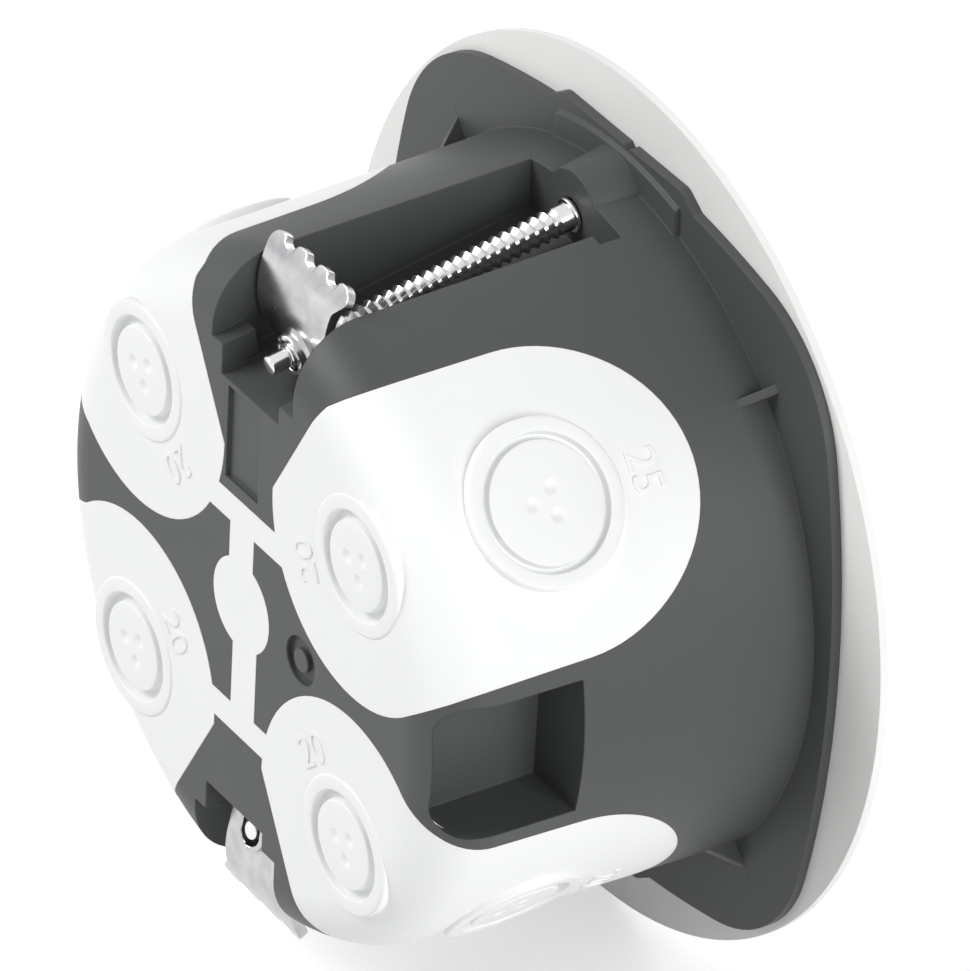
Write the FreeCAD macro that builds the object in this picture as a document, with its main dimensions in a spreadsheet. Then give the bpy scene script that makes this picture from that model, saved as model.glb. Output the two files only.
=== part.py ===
"""Round junction box for hollow walls, with its cover, claws and screws. Lengths are millimetres.

The wall plane is y = 0. The barrel goes back into the wall along +Y, the flange and the cover lie
in front of it, and +Z is up. The origin is the centre of the hole in the wall.
"""
import FreeCAD
import Part
import math
import os
import Sketcher
from types import SimpleNamespace
from FreeCAD import Vector

# Driving dimensions: alias, value, meaning
SIZES = [
    ("barrel_radius", 33.2, "outside of the barrel in the wall plane"),
    ("barrel_draft", 1.9, "taper of the barrel towards its back, degrees"),
    ("box_depth", 37.0, "wall plane to the back of the box"),
    ("back_rounding", 6.25, "rounding of the back edge"),
    ("wall", 2.0, "wall of the barrel and its back"),
    ("skin", 1.0, "thickness of the soft second shot, let into the wall"),
    ("flange_thick", 1.0, "flange plate"),
    ("flange_lip", 2.4, "flange beyond the barrel at the middle of a side"),
    ("flange_bow", 95.0, "radius of the bowed sides of the flange"),
    ("flange_corner", 15.0, "corner radius of the flange"),
    ("lobe_half", 9.3, "half-width of the flange's lobe over each claw"),
    ("lobe_lip", 0.7, "lobe beyond the middle of the flange's side"),
    ("lobe_slope", 3.0, "run of the lobe's sloped ends"),
    ("lobe_drop", 2.0, "fall of the lobe's sloped ends"),
    ("lobe_round", 1.6, "rounding of the lobe's ends"),
    ("notch_place", 1.0, "sighting notch, from the middle of the lobe"),
    ("notch_depth", 0.5, "depth of the sighting notch"),
    ("gusset_thick", 0.8, "plate of the flange's gussets"),
    ("gusset_lip", 3.6, "gusset beyond the barrel on the flange"),
    ("gusset_length", 4.0, "length of a gusset on the barrel"),
    ("boss_radius", 4.1, "round boss of a claw screw"),
    ("brace_lip", 0.5, "brace of a lobe inside the lobe's edge"),
    ("brace_long", 4.7, "length of a lobe's brace on the barrel"),
    ("screw_inset", 2.0, "claw screw inside the barrel's radius in the wall plane"),
    ("screw_tilt", 11.0, "claw screw towards the centre at the back, degrees"),
    ("channel_front", 4.7, "wall plane to the claw channel"),
    ("claw_gap", 0.4, "claw to each side of its channel"),
    ("foot_gap", 0.3, "foot of a claw to the floor of its channel"),
    ("channel_wall", 1.5, "walls around the claw channel"),
    ("relief_wide", 1.1, "side relief at the front of the channel, along X"),
    ("relief_long", 2.2, "side relief at the front of the channel, along Y"),
    ("relief_deep", 2.0, "side relief at the front of the channel, depth"),
    ("stop_wide", 1.7, "stop rib at the back of the channel, along X"),
    ("stop_high", 2.9, "stop rib above the channel floor"),
    ("stop_long", 2.7, "stop rib along the channel"),
    ("sill_wide", 2.1, "low sill opposite the stop rib, along X"),
    ("sill_high", 1.8, "low sill above the channel floor"),
    ("sill_long", 1.3, "low sill along the channel"),
    ("post_inset", 3.2, "cover screw inside the barrel's radius"),
    ("post_wall", 1.5, "wall of a post around its bore"),
    ("post_clear", 0.05, "clearance around a cover screw in its post, radial"),
    ("post_spare", 1.0, "bore of a post beyond its screw, and post beyond its bore"),
    ("pocket_half", 6.8, "half-height of the side pocket"),
    ("pocket_front", 23.1, "wall plane to the front of the side pocket"),
    ("pocket_round", 3.0, "rounding of the side pocket's back corners"),
    ("pocket_deep", 8.0, "depth of the side pocket from the barrel's radius"),
    ("pocket_lip", 0.8, "lip of the side pocket at the back of the box"),
    ("pocket_wall", 1.5, "walls around the side pocket"),
    ("plate_left", -1.6, "sunk plate on the back, low X"),
    ("plate_wide", 5.8, "sunk plate on the back, along X"),
    ("plate_low", 11.6, "sunk plate on the back, low Z"),
    ("plate_high", 9.3, "sunk plate on the back, along Z"),
    ("plate_sunk", 0.4, "depth of the sunk plate"),
    ("dimple_place", -9.35, "moulding dimple on the back, X"),
    ("dimple_radius", 2.3, "moulding dimple"),
    ("dimple_pin", 1.1, "pin mark in the moulding dimple, radius"),
    ("dimple_sunk", 0.5, "depth of the moulding dimple"),
    ("pad_angle", 40.0, "pad from the X axis, degrees"),
    ("pad_round", 13.4, "round end of a pad on the back"),
    ("pad_half", 13.6, "half-width on the side, pads at -X"),
    ("pad_half_wide", 14.6, "half-width on the side, pads at +X"),
    ("pad_end", 8.5, "wall plane to the end of a pad"),
    ("tongue_side", 4.65, "rigid tongue between two pads, beyond the channel's half-width"),
    ("tongue_inset", 5.8, "full width of the tongue, inside the barrel's radius"),
    ("tongue_spare", 0.1, "tip of the tongue clear of the pads"),
    ("bar_high", 2.8, "bar of the soft skin between two pads"),
    ("bar_top", 10.4, "top of the upper bar"),
    ("bar_bottom", -13.6, "bottom of the lower bar"),
    ("runner_wide", 3.8, "runner between the two bars"),
    ("runner_upper", -1.3, "upper half of the runner, low X"),
    ("runner_lower", -2.4, "lower half of the runner, low X"),
    ("gate_radius", 4.5, "gate disc in the middle of the runner"),
    ("entry_inset", 10.6, "back entry inside the barrel's radius"),
    ("entry_ring", 6.5, "raised ring of a small entry, radius"),
    ("entry_moat", 5.07, "moat of a small entry, outer radius"),
    ("entry_disc", 4.1, "disc of a small entry, radius"),
    ("entry_proud", 0.2, "ring above the skin"),
    ("moat_deep", 0.55, "depth of the moats"),
    ("dot_radius", 0.65, "pricking dimple"),
    ("dot_reach", 1.4, "pricking dimple from the middle of its entry"),
    ("dot_deep", 0.25, "depth of a pricking dimple"),
    ("window_margin", 0.5, "window behind an entry inside its ring"),
    ("large_ring", 7.5, "raised ring of a large entry, radius"),
    ("large_moat", 6.13, "moat of a large entry, outer radius"),
    ("large_disc", 5.45, "disc of a large entry, radius"),
    ("large_place", 23.3, "wall plane to a large side entry"),
    ("small_place", 24.0, "wall plane to a small side entry"),
    ("large_proud", 0.47, "flat top of a large side entry above the barrel"),
    ("cover_lip", 6.13, "cover beyond the middle of the flange's side"),
    ("cover_rim", 0.8, "thickness of the cover at its rim"),
    ("cover_thick", 2.2, "thickness of the cover inside its bevel"),
    ("cover_edge", 5.73, "width of the cover's rounded edge"),
    ("cover_dome", 9.0, "radius of the cover's rounded edge"),
    ("cover_sink", 1.4, "counterbore in the cover, depth"),
    ("cover_clear", 0.2, "clearance around a screw head or shank, radial"),
    ("lid_screw_head", 2.6, "head of a cover screw, radius"),
    ("lid_screw_head_high", 1.3, "head of a cover screw, height"),
    ("lid_screw_shank", 1.45, "shank of a cover screw, radius"),
    ("lid_screw_tip", 11.0, "wall plane to the tip of a cover screw"),
    ("head_radius", 2.6, "head of a claw screw"),
    ("head_front", 0.1, "front of the head ahead of the wall plane, on its axis"),
    ("head_back", 1.8, "seat of the head, on its axis"),
    ("neck_radius", 1.2, "plain neck of a claw screw"),
    ("thread_start", 6.4, "start of the thread, on its axis"),
    ("thread_radius", 1.4, "thread of a claw screw, over its crests"),
    ("pin_radius", 0.9, "staked pin at the end of a claw screw"),
    ("pin_long", 2.06, "length of the pin"),
    ("pin_short", 0.94, "screw shorter than the box is deep"),
    ("screw_clear", 0.1, "clearance around the thread in the box, radial"),
    ("slot_wide", 0.7, "cross recess of a screw, width of an arm"),
    ("slot_long", 3.0, "cross recess of a screw, length of an arm"),
    ("slot_deep", 0.8, "cross recess of a screw, depth"),
    ("sheet_thick", 1.0, "sheet of a claw"),
    ("claw_foot", 2.3, "round foot of a claw under its screw, radius"),
    ("claw_neck", 4.4, "half-width of a claw beside its screw"),
    ("claw_wide", 6.1, "half-width of a claw over its teeth"),
    ("claw_step", 0.45, "shoulder of a claw above its screw axis"),
    ("claw_fold", 1.7, "start of a claw's curve above its screw axis"),
    ("claw_bend", 45.0, "curve of the leaf towards the flange, degrees"),
    ("claw_curve", 8.9, "radius of the leaf's curve on its hollow side"),
    ("claw_waist", 4.9, "half-width of the leaf where its flare starts"),
    ("claw_flare", 2.8, "end of the flare before the teeth's line"),
    ("claw_cheek", 1.5, "straight side of the flared tooth"),
    ("tooth_pitch", 3.3, "pitch of the teeth"),
    ("valley_radius", 1.0, "round valleys between the teeth"),
    ("valley_deep", 0.8, "depth of the valleys"),
    ("tooth_round", 0.45, "rounding of the tooth tips"),
    ("corner_round", 1.2, "rounding of the outer teeth"),
    ("collar_radius", 1.95, "burred collar around the claw's hole"),
    ("collar_high", 1.0, "height of the collar"),
    ("claw_clear", 0.05, "clearance around the thread in the claw, radial"),
]

# How far cutting tools run past the surfaces that they cut
OVER = 5.0
DOC = FreeCAD.newDocument("JunctionBox")
SHEET = DOC.addObject("Spreadsheet::Sheet", "Sizes")
AXES = {"x": "1; 0; 0", "y": "0; 1; 0", "z": "0; 0; 1"}


class Term:
    """A number together with the sheet formula that gives it."""

    def __init__(self, value, text):
        self.value = value
        self.text = text

    def __neg__(self):
        return Term(-self.value, f"(-{self.text})")

    def __add__(self, other):
        other = term(other)
        return Term(self.value + other.value, f"({self.text} + {other.text})")

    def __sub__(self, other):
        other = term(other)
        return Term(self.value - other.value, f"({self.text} - {other.text})")

    def __mul__(self, other):
        other = term(other)
        return Term(self.value * other.value, f"({self.text} * {other.text})")

    def __truediv__(self, other):
        other = term(other)
        return Term(self.value / other.value, f"({self.text} / {other.text})")

    def __radd__(self, other):
        return term(other) + self

    def __rsub__(self, other):
        return term(other) - self

    def __rmul__(self, other):
        return term(other) * self


def term(item):
    """Give a plain number as a Term, and a Term as it is."""
    return item if isinstance(item, Term) else Term(float(item), f"({item})")


def sine(angle):
    return Term(math.sin(math.radians(term(angle).value)), f"sin({term(angle).text})")


def cosine(angle):
    return Term(math.cos(math.radians(term(angle).value)), f"cos({term(angle).text})")


def tangent(angle):
    return Term(math.tan(math.radians(term(angle).value)), f"tan({term(angle).text})")


def root(item):
    return Term(math.sqrt(item.value), f"sqrt({item.text})")


def fill_sheet():
    """Write the driving dimensions into the sheet and give them as terms."""
    for row, (alias, value, meaning) in enumerate(SIZES, 1):
        SHEET.set(f"A{row}", meaning)
        SHEET.set(f"B{row}", str(value))
        SHEET.setAlias(f"B{row}", alias)
    DOC.recompute()
    return SimpleNamespace(**{alias: Term(value, f"Sizes.{alias}") for alias, value, _ in SIZES})


S = fill_sheet()
S.screw_offset = S.barrel_radius - S.screw_inset
MOUTH = -S.flange_thick


def barrel(y, inset=0):
    """Radius of the barrel at some depth, inside an inset measured square to its wall."""
    return S.barrel_radius - term(inset) / cosine(S.barrel_draft) - y * tangent(S.barrel_draft)


def channel_line(y, drop):
    """Distance from the box axis of a line parallel to the claw screw and below it."""
    return S.screw_offset - y * tangent(S.screw_tilt) - drop / cosine(S.screw_tilt)


def tied_sizes():
    """Sizes that follow from the driving ones, by name."""
    drop = S.claw_foot + S.foot_gap
    half = S.barrel_radius + S.flange_lip
    cover_radius = half + S.cover_lip
    pin_end = S.box_depth - S.pin_short
    thread_end = pin_end - S.pin_long
    claw_deep = S.sheet_thick + S.collar_high
    bore = S.lid_screw_shank + S.post_clear
    bore_depth = S.lid_screw_tip + S.post_spare
    reach = S.barrel_radius - S.entry_inset
    return {
        "flange_half": half, "lobe_reach": half + S.lobe_lip,
        "gusset_reach": S.barrel_radius + S.gusset_lip, "brace_reach": half + S.lobe_lip - S.brace_lip,
        "channel_half": S.claw_wide + S.claw_gap, "channel_drop": drop,
        "post_offset": S.barrel_radius - S.post_inset, "post_bore": bore, "post_radius": bore + S.post_wall,
        "post_bore_depth": bore_depth, "post_length": bore_depth + S.post_spare,
        "pocket_floor": S.barrel_radius - S.pocket_deep, "entry_reach": reach,
        "tongue_half": S.claw_wide + S.claw_gap + S.tongue_side,
        "tongue_high": S.barrel_radius - S.tongue_inset, "tongue_low": reach * sine(S.pad_angle),
        "tongue_tip": reach * cosine(S.pad_angle) - S.pad_round - S.tongue_spare,
        "large_top": barrel(S.large_place) + S.large_proud,
        "small_top": barrel(S.small_place) + S.entry_proud,
        "cover_radius": cover_radius, "cover_land": cover_radius - S.cover_edge,
        "thread_end": thread_end, "pin_end": pin_end,
        "rest_upper": thread_end - claw_deep, "rest_lower": pin_end - claw_deep,
    }


vars(S).update(tied_sizes())


# Helpers: bound placements, sketches, primitives and booleans

def frame(x=0, y=0, z=0, axis="z", turn=0):
    """Formula of a placement at (x, y, z), turned about one axis by some degrees."""
    base = "; ".join(term(part).text for part in (x, y, z))
    return (f"create(<<placement>>; create(<<vector>>; {base}); "
            f"create(<<rotation>>; create(<<vector>>; {AXES[axis]}); {term(turn).text}))")


WORLD = frame()


def radial(angle):
    """Formula of the frame whose X axis points outwards at an angle in the XZ plane."""
    return frame(axis="y", turn=-term(angle))


def half_turn(side):
    """Formula of the frame that is turned over for the lower side."""
    return frame(axis="y", turn=0 if side > 0 else 180)


def lane(side):
    """Formula of a claw screw's frame: Y runs back along the screw, Z points out of the box."""
    return f"{half_turn(side)} * {frame(z=S.screw_offset, axis='x', turn=-S.screw_tilt)}"


def bind(item, where=None, **sizes):
    """Bind sizes of an object, and its placement, to formulas."""
    for name, size in sizes.items():
        item.setExpression(name, term(size).text)
    if where:
        item.setExpression("Placement", where)
    return item


def block(name, x, y, z, within=WORLD):
    """Box between a low and a high limit on each axis of a frame."""
    item = DOC.addObject("Part::Box", name)
    low = [term(pair[0]) for pair in (x, y, z)]
    span = [pair[1] - start for pair, start in zip((x, y, z), low)]
    return bind(item, f"{within} * {frame(*low)}", Length=span[0], Width=span[1], Height=span[2])


def rod(name, radius, low, high, x=0, z=0, within=WORLD):
    """Cylinder along +Y of a frame, between two places."""
    item = DOC.addObject("Part::Cylinder", name)
    where = f"{within} * {frame(x, low, z, 'x', -90)}"
    return bind(item, where, Radius=radius, Height=term(high) - low)


def stud(name, radius, low, high, y, z=0, within=WORLD):
    """Cylinder along +X of a frame, between two places."""
    item = DOC.addObject("Part::Cylinder", name)
    where = f"{within} * {frame(low, y, z, 'y', 90)}"
    return bind(item, where, Radius=radius, Height=term(high) - low)


def join(name, parts, where=None):
    item = DOC.addObject("Part::MultiFuse", name)
    item.Shapes = parts
    item.Refine = True
    return bind(item, where)


def cut(name, base, tool):
    item = DOC.addObject("Part::Cut", name)
    item.Base = base
    item.Tool = tool
    return item


def meet(name, base, tool):
    item = DOC.addObject("Part::Common", name)
    item.Base = base
    item.Tool = tool
    return item


def new_body(name, where=None):
    return bind(DOC.addObject("PartDesign::Body", name), where)


def arc(start, finish, radius, turn):
    """Arc between two points, anticlockwise for a turn of 1 and clockwise for -1."""
    half = (finish - start) * 0.5
    side = Vector(-half.y, half.x, 0) * turn / half.Length
    centre = start + half + side * math.sqrt(radius ** 2 - half.Length ** 2)
    first, last = (start, finish) if turn > 0 else (finish, start)
    angles = [math.atan2(point.y - centre.y, point.x - centre.x) for point in (first, last)]
    return Part.ArcOfCircle(Part.Circle(centre, Vector(0, 0, 1), radius), *angles)


def new_sketch(body, name, plane):
    """Sketch on an origin plane of a body."""
    sketch = body.newObject("Sketcher::SketchObject", name)
    support = [item for item in body.Origin.OriginFeatures if item.Role == plane][0]
    sketch.AttachmentSupport = [(support, "")]
    sketch.MapMode = "FlatFace"
    return sketch


def tie(sketch, rules):
    """Add constraints whose last value is the formula that each is bound to."""
    for *rule, formula in rules:
        number = sketch.addConstraint(Sketcher.Constraint(*rule))
        sketch.setExpression(f"Constraints[{number}]", term(formula).text)


def outline(body, plane, stops):
    """Closed sketch through bound points on an origin plane of a body.

    A stop is (u, v), left along a straight line, or (u, v, radius, turn), left along an arc.
    """
    sketch = new_sketch(body, body.Name + "Outline", plane)
    points = [Vector(term(stop[0]).value, term(stop[1]).value, 0) for stop in stops]
    starts = [2 if len(stop) > 2 and stop[3] < 0 else 1 for stop in stops]
    for index, stop in enumerate(stops):
        start, finish = points[index], points[(index + 1) % len(stops)]
        if len(stop) > 2:
            sketch.addGeometry(arc(start, finish, term(stop[2]).value, stop[3]), False)
        else:
            sketch.addGeometry(Part.LineSegment(start, finish), False)
    for index, stop in enumerate(stops):
        following = (index + 1) % len(stops)
        sketch.addConstraint(Sketcher.Constraint("Coincident", index, 3 - starts[index],
                                                 following, starts[following]))
        rules = [("DistanceX", -1, 1, index, starts[index], points[index].x, stop[0]),
                 ("DistanceY", -1, 1, index, starts[index], points[index].y, stop[1])]
        if len(stop) > 2:
            rules.append(("Radius", index, term(stop[2]).value, stop[2]))
        tie(sketch, rules)
    return sketch


def ring(body, plane, u, v, radius):
    """Sketch of one circle with a bound centre and radius."""
    sketch = new_sketch(body, body.Name + "Ring", plane)
    circle = Part.Circle(Vector(u.value, v.value, 0), Vector(0, 0, 1), radius.value)
    sketch.addGeometry(circle, False)
    tie(sketch, [("DistanceX", -1, 1, 0, 3, u.value, u), ("DistanceY", -1, 1, 0, 3, v.value, v),
                 ("Radius", 0, radius.value, radius)])
    return sketch


def revolve(body, stops):
    """Revolve an outline of (radius, y) stops about the Y axis of a body."""
    item = body.newObject("PartDesign::Revolution", body.Name + "Turn")
    item.Profile = outline(body, "XY_Plane", stops)
    item.ReferenceAxis = (item.Profile[0], ["V_Axis"])
    item.Angle = 360
    return item


def pad(body, plane, stops, length, both_ways=False):
    """Pad an outline along the normal of its plane, or to both sides of it."""
    item = body.newObject("PartDesign::Pad", body.Name + "Pad")
    item.Profile = outline(body, plane, stops)
    if both_ways:
        item.SideType = "Symmetric"
    return bind(item, Length=length)


def soften(body, chosen, radius, name="Round"):
    """Fillet the edges of a body's tip whose two ends and middle pass a test."""
    DOC.recompute()
    base = body.Tip
    edges = [f"Edge{number}" for number, edge in enumerate(base.Shape.Edges, 1) if chosen(edge)]
    item = body.newObject("PartDesign::Fillet", body.Name + name)
    item.Base = (base, edges)
    bind(item, Radius=radius)
    body.Tip = item
    return item


def along(edge, axis):
    """Whether an edge is straight and runs along an axis."""
    if not isinstance(edge.Curve, Part.Line):
        return False
    return abs(abs(edge.Curve.Direction.dot(axis)) - 1) < 1e-6


def near(value, target):
    return abs(value - term(target).value) < 1e-3


# Barrel: a drafted cup, its inner offsets, and the soft skin's layer

def cup(name, inset, front):
    """Drafted solid with a rounded back edge, inset from the outside of the box."""
    body = new_body(name)
    back = S.box_depth - inset
    revolve(body, [(0, front), (barrel(front, inset), front), (barrel(back, inset), back), (0, back)])
    soften(body, lambda edge: near(edge.BoundBox.YMin, back) and near(edge.BoundBox.YMax, back)
           and edge.BoundBox.XMax > 1, S.back_rounding - inset)
    return body


def flange():
    """Flange plate with four bowed sides and round corners."""
    body = new_body("FlangePlate")
    shift = S.flange_bow - S.flange_half
    corner = (root(2 * S.flange_bow * S.flange_bow - shift * shift) - shift) / 2
    stops = [(x * corner, z * corner, S.flange_bow, 1)
             for x, z in ((1, -1), (1, 1), (-1, 1), (-1, -1))]
    pad(body, "XZ_Plane", stops, S.flange_thick)
    soften(body, lambda edge: along(edge, Vector(0, 1, 0)), S.flange_corner)
    return body


def lobe(side):
    """Lobe of the flange over a claw, with its sighting notch."""
    body = new_body("LobeUpper" if side > 0 else "LobeLower", radial(90 * side))
    foot = S.lobe_half + S.lobe_slope
    root_line = S.flange_half - OVER
    low = S.lobe_reach - S.lobe_drop
    notch = side * S.notch_place
    stops = [(root_line, -foot), (low, -foot), (S.lobe_reach, -S.lobe_half),
             (S.lobe_reach, notch - S.notch_depth), (S.lobe_reach - S.notch_depth, notch),
             (S.lobe_reach, notch + S.notch_depth), (S.lobe_reach, S.lobe_half),
             (low, foot), (root_line, foot)]
    pad(body, "XZ_Plane", stops, S.flange_thick)
    soften(body, lambda edge: along(edge, Vector(0, 1, 0)) and near(abs(edge.BoundBox.ZMax), S.lobe_half),
           S.lobe_round)
    return body


def fin(name, angle, half, reach, length):
    """Sloped fin from the flange to the barrel, about a radial plane."""
    item = DOC.addObject("Part::Wedge", name)
    inner = S.barrel_radius - S.wall / 2
    return bind(item, radial(angle), Ymin=0, Ymax=length, Xmin=inner, Xmax=reach, X2min=inner,
                X2max=barrel(length), Zmin=-half, Zmax=half, Z2min=-half, Z2max=half)


def lobe_braces():
    """Cone from the two lobes to the barrel, kept over the lobes alone."""
    cone = DOC.addObject("Part::Cone", "BraceCone")
    bind(cone, frame(0, 0, 0, "x", -90), Radius1=S.brace_reach, Radius2=barrel(S.brace_long),
         Height=S.brace_long)
    far = S.brace_reach + OVER
    return meet("Braces", cone, block("BraceSpan", (-S.lobe_half, S.lobe_half), (0, S.brace_long),
                                      (-far, far)))


# Claw channels

def channel_prism(name, side, drop, front, back, half):
    """Solid above a line parallel to the claw screw, open outwards."""
    body = new_body(name, radial(90 * side))
    reach = S.barrel_radius + OVER
    pad(body, "XY_Plane", [(channel_line(front, drop), front), (reach, front), (reach, back),
                           (channel_line(back, drop), back)], 2 * half, both_ways=True)
    return body


def channel_void(side, name):
    """Space of one claw, less the stop rib at its back, plus the relief at its front."""
    space = channel_prism("Void" + name, side, S.channel_drop, S.channel_front,
                          S.box_depth + OVER, S.channel_half)
    edge = side * S.channel_half
    foot = -S.channel_drop - OVER
    back = S.box_depth + 2 * OVER
    rib = block("Stop" + name, sorted_pair(edge - side * S.stop_wide, edge + side * OVER),
                (S.box_depth - S.stop_long, back), (foot, S.stop_high - S.channel_drop), lane(side))
    sill = block("Sill" + name, sorted_pair(side * S.sill_wide - edge, -edge - side * OVER),
                 (S.box_depth - S.sill_long, back), (foot, S.sill_high - S.channel_drop), lane(side))
    relief = block("Relief" + name, (-S.channel_half - S.relief_wide, -S.channel_half),
                   (S.channel_front, S.channel_front + S.relief_long),
                   (S.barrel_radius - S.relief_deep, S.barrel_radius + OVER), half_turn(side))
    return join("Channel" + name, [cut("Open" + name, space, join("Stops" + name, [rib, sill])), relief])


def sorted_pair(first, second):
    """Two limits in rising order."""
    return (first, second) if first.value < second.value else (second, first)


def screw_hole(side, name):
    """Stepped hole of a claw screw, from the flange's front into the channel."""
    bore = rod("Bore" + name, S.thread_radius + S.screw_clear, -OVER, S.channel_front + OVER)
    seat = rod("Seat" + name, S.head_radius + S.cover_clear, -OVER, S.head_back)
    return join("ScrewHole" + name, [bore, seat], lane(side))


# Soft pads and entries

def pads():
    """Each pad's name, angle, half-width on the side and kind of side entry."""
    small = (S.entry_ring, S.entry_moat, S.entry_disc, S.small_place, S.small_top)
    large = (S.large_ring, S.large_moat, S.large_disc, S.large_place, S.large_top)
    return [("A", S.pad_angle, S.pad_half_wide, small), ("B", -S.pad_angle, S.pad_half_wide, large),
            ("C", 180 - S.pad_angle, S.pad_half, large), ("D", 180 + S.pad_angle, S.pad_half, small)]


def pad_region(name, angle, half):
    """Prisms that cover a pad, on the back and down the side."""
    far = S.barrel_radius + OVER
    edge = S.barrel_radius - S.back_rounding
    centre, around = S.entry_reach, S.pad_round
    top = new_body("PadBack" + name, radial(angle) + " * " + frame(y=S.box_depth + OVER))
    pad(top, "XZ_Plane", [(centre, around, around, 1), (centre - around, 0, around, 1),
                          (centre, -around), (edge, -half), (far, -half), (far, half), (edge, half)],
        S.back_rounding + OVER)
    side = new_body("PadSide" + name, radial(angle) + " * " + frame(x=edge))
    turn = S.pad_end + half
    pad(side, "YZ_Plane", [(turn, half, half, 1), (S.pad_end, 0, half, 1), (turn, -half),
                           (S.box_depth + OVER, -half), (S.box_depth + OVER, half)], far - edge)
    return [top, side]


def runner():
    """Bars, runner and gate disc that join the pads on the back of the box."""
    low, high = S.box_depth - 2 * S.skin, S.box_depth + OVER
    middle = S.runner_upper + S.runner_wide / 2
    reach = S.entry_reach * cosine(S.pad_angle) - S.pad_round / 2
    return [
        block("BarUpper", (-reach, reach), (low, high), (S.bar_top - S.bar_high, S.bar_top)),
        block("BarLower", (-reach, reach), (low, high), (S.bar_bottom, S.bar_bottom + S.bar_high)),
        block("RunnerUpper", (S.runner_upper, S.runner_upper + S.runner_wide), (low, high),
              (0, S.bar_top)),
        block("RunnerLower", (S.runner_lower, S.runner_lower + S.runner_wide), (low, high),
              (S.bar_bottom, 0)),
        rod("Gate", S.gate_radius, low, high, middle / 2, 0),
    ]


def dots(name, make):
    """Three pricking dimples in a triangle, each made at its offset across and up."""
    return [make(f"Dot{name}{number}", S.dot_reach * cosine(turn), S.dot_reach * sine(turn))
            for number, turn in enumerate((30, 150, 270))]


def moat(name, make, outer, inner):
    """Ring-shaped groove around the disc of an entry."""
    return cut("Moat" + name, make("MoatOuter" + name, outer), make("MoatInner" + name, inner))


def back_entry(name, angle):
    """Raised ring of an entry on the back, and what is sunk into it."""
    x, z = S.entry_reach * cosine(angle), S.entry_reach * sine(angle)
    top = S.box_depth + S.entry_proud
    ring = rod("BackRing" + name, S.entry_ring, S.box_depth - S.skin, top, x, z)
    groove = moat("Back" + name, lambda title, size: rod(title, size, top - S.moat_deep,
                                                         top + OVER, x, z),
                  S.entry_moat, S.entry_disc)
    holes = dots("Back" + name, lambda title, across, up: rod(
        title, S.dot_radius, top - S.dot_deep, top + OVER, x + across, z + up))
    window = rod("BackWindow" + name, S.entry_ring - S.window_margin, S.box_depth - S.back_rounding,
                 S.box_depth + OVER, x, z)
    return ring, [groove] + holes, window


def side_entry(name, angle, kind):
    """Flat round plateau of an entry on the side, and what is sunk into it."""
    ring_radius, outer, inner, place, top = kind
    where = radial(angle)
    start = S.barrel_radius - S.back_rounding
    ring = stud("SideRing" + name, ring_radius, start, top, place, within=where)
    groove = moat("Side" + name, lambda title, size: stud(title, size, top - S.moat_deep,
                                                          top + OVER, place), outer, inner)
    holes = dots("Side" + name, lambda title, across, up: stud(
        title, S.dot_radius, top - S.dot_deep, top + OVER, place + across, up))
    sunk = join("SideSunk" + name, [groove] + holes, where)
    window = stud("SideWindow" + name, ring_radius - S.window_margin, start,
                  S.barrel_radius + OVER, place, within=where)
    return ring, sunk, window


def tongue(name, turn):
    """Prism that keeps the soft skin off the shell's tongue around a channel."""
    body = new_body("Tongue" + name, frame(axis="y", turn=turn) + " * " + frame(y=S.box_depth + OVER))
    tip, half, far = S.tongue_tip, S.tongue_half, S.barrel_radius + OVER
    pad(body, "XZ_Plane", [(-tip, S.tongue_low), (tip, S.tongue_low), (half, S.tongue_high), (half, far),
                           (-half, far), (-half, S.tongue_high)], S.box_depth + 2 * OVER)
    return body


def soft_skin(outer, inner):
    """Layer of the soft second shot, still without its entries' relief."""
    layer = cut("SkinLayer", outer, inner)
    regions = runner()
    for name, angle, half, _ in pads():
        regions += pad_region(name, angle, half)
    tongues = [tongue("Upper", 0), tongue("Lower", 180)]
    covered = meet("SkinCovered", layer, join("PadRegions", regions))
    return cut("SkinTrimmed", covered, join("Tongues", tongues))


def soft_entries(skin, inner):
    """Soft second shot with its eight entries, and the windows behind them."""
    rings, sunk, windows = [], [], []
    for name, angle, _, kind in pads():
        back_ring, back_sunk, back_window = back_entry(name, angle)
        side_ring, side_sunk, side_window = side_entry(name, angle, kind)
        rings += [back_ring, side_ring]
        sunk += back_sunk + [side_sunk]
        windows += [back_window, side_window]
    plateaus = cut("Plateaus", join("EntryRings", rings), inner)
    raised = join("SkinRaised", [skin, plateaus])
    return cut("SoftEntries", raised, join("EntriesSunk", sunk)), windows


# Rigid box

def pocket(name, grow, lip):
    """Solid of the side pocket, grown by its walls or cut to its lip, with round back corners."""
    far = S.barrel_radius + OVER
    body = new_body(name, frame(x=-far))
    front, half, turn = S.pocket_front - grow, S.pocket_half + grow, S.pocket_round
    pad(body, "YZ_Plane", [(front, -half), (lip - turn, -half, turn, 1), (lip, turn - half),
                           (lip, half - turn, turn, 1), (lip - turn, half), (front, half)],
        far - S.pocket_floor + grow)
    return body


def back_marks():
    """Sunk plate and moulding dimple on the back of the box."""
    high = S.box_depth + OVER
    plate = block("SunkPlate", (S.plate_left, S.plate_left + S.plate_wide),
                  (S.box_depth - S.plate_sunk, high), (S.plate_low, S.plate_low + S.plate_high))
    low = S.box_depth - S.dimple_sunk
    dimple = cut("Dimple", rod("DimpleDisc", S.dimple_radius, low, high, S.dimple_place),
                 rod("DimplePin", S.dimple_pin, low, high, S.dimple_place))
    return [plate, dimple]


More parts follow.
